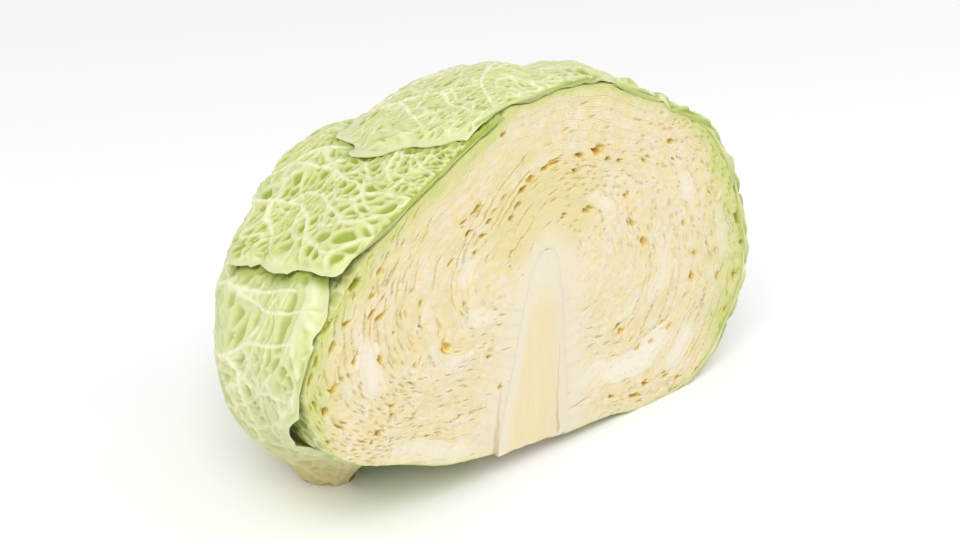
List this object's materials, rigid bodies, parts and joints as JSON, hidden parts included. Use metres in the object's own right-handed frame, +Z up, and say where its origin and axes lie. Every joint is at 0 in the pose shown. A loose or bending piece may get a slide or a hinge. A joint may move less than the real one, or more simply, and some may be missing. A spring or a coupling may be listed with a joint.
{
  "type": "halved savoy cabbage",
  "caption": "Half of a savoy cabbage cut lengthwise through its stem, with net-veined outer leaves and a layered cut face, standing on its leaf bases.",
  "frame": {"origin": "middle of the part's box in X and Y, on the surface that it stands on", "axes": "+Z up along the stem, the cut face faces -Y, +X to the right when looking at the cut face"},
  "size_m": [0.196, 0.1016, 0.1158],
  "materials": {
    "outer_leaf": "matte fresh leaf, pale raised veins",
    "inner_leaf": "moist cut leaf layers, cream",
    "heart": "moist crumpled young leaf, yellow",
    "stem": "smooth moist cut stem, pale yellow"
  },
  "bodies": {
    "root": {"stem": "stem", "heart": "heart", "inner_leaf_01": "inner_leaf", "inner_leaf_02": "inner_leaf", "inner_leaf_03": "inner_leaf", "inner_leaf_04": "inner_leaf", "inner_leaf_05": "inner_leaf", "inner_leaf_06": "inner_leaf", "inner_leaf_07": "inner_leaf", "inner_leaf_08": "inner_leaf", "inner_leaf_09": "inner_leaf", "inner_leaf_10": "inner_leaf", "leaf_right": "outer_leaf", "leaf_back_right": "outer_leaf", "leaf_back_left": "outer_leaf", "leaf_lower_left": "outer_leaf", "leaf_upper_left": "outer_leaf", "leaf_top": "outer_leaf"}
  },
  "joints": []
}
